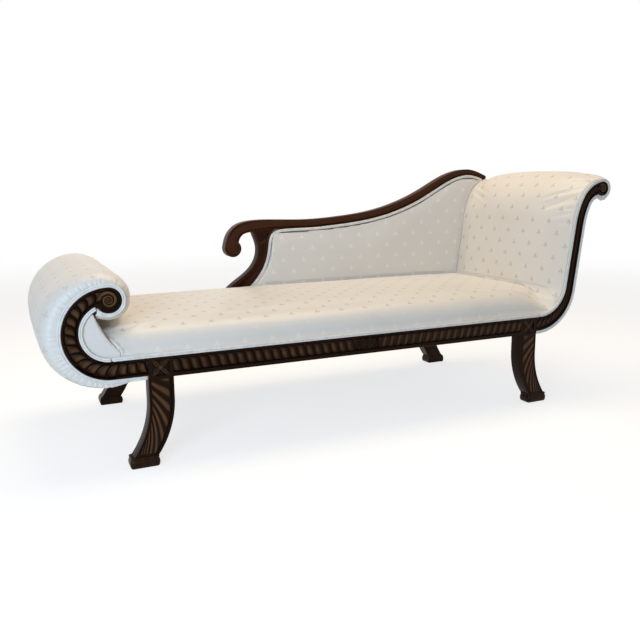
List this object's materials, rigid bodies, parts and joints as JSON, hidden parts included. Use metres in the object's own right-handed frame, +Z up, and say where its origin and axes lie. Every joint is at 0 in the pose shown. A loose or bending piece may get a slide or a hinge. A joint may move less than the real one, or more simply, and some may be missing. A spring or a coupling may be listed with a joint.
{
  "type": "recamier",
  "caption": "Scroll-ended day couch with a stuffed seat, a high rolled head end, a low rolled foot end, a short shaped back and carved sabre legs.",
  "frame": {"origin": "middle of the floor under the couch's overall box", "axes": "+X along the couch from the foot end to the head end, +Y from the open front to the back, +Z up"},
  "size_m": [2.0028, 0.7154, 0.8625],
  "materials": {
    "mahogany": "dark French polish, worn lighter on the high spots of the carving",
    "beech": "plain sawn frame timber",
    "satin_fabric": "ivory satin with a small woven sprig",
    "piping": "ivory double piping",
    "jute": "woven jute webbing",
    "hessian": "open jute cloth",
    "calico_black": "thin black dust cloth",
    "steel": "plain zinc finish"
  },
  "bodies": {
    "root": {"back_frame_bolts": "steel", "back_head_post": "beech", "back_outside_cover": "satin_fabric", "back_pad": "satin_fabric", "back_piping": "piping", "back_stile": "mahogany", "back_tacking_rail": "beech", "back_top_rail": "mahogany", "back_webbing": "jute", "corner_block_screws": "steel", "corner_blocks": "beech", "dust_cover": "calico_black", "foot_cross_rail": "beech", "foot_inner_piping": "piping", "foot_outer_piping": "piping", "foot_pad_inner": "satin_fabric", "foot_pad_outer": "satin_fabric", "foot_rear_inner_piping": "piping", "foot_rear_outer_piping": "piping", "foot_scroll_battens": "beech", "foot_scroll_front": "mahogany", "foot_scroll_rear": "mahogany", "front_seat_rail": "mahogany", "head_cross_rail": "beech", "head_inner_piping": "piping", "head_outer_piping": "piping", "head_outside_cover": "satin_fabric", "head_pad": "satin_fabric", "head_rear_outer_piping": "piping", "head_scroll_battens": "beech", "head_scroll_front": "mahogany", "head_scroll_rear": "mahogany", "leg_front_foot": "mahogany", "leg_front_head": "mahogany", "leg_rear_foot": "mahogany", "leg_rear_head": "mahogany", "rear_seat_rail": "mahogany", "seat_braces": "beech", "seat_front_piping": "piping", "seat_hessian": "hessian", "seat_pad": "satin_fabric", "seat_rear_piping": "piping", "webbing_cross": "jute", "webbing_long": "jute"}
  },
  "joints": []
}
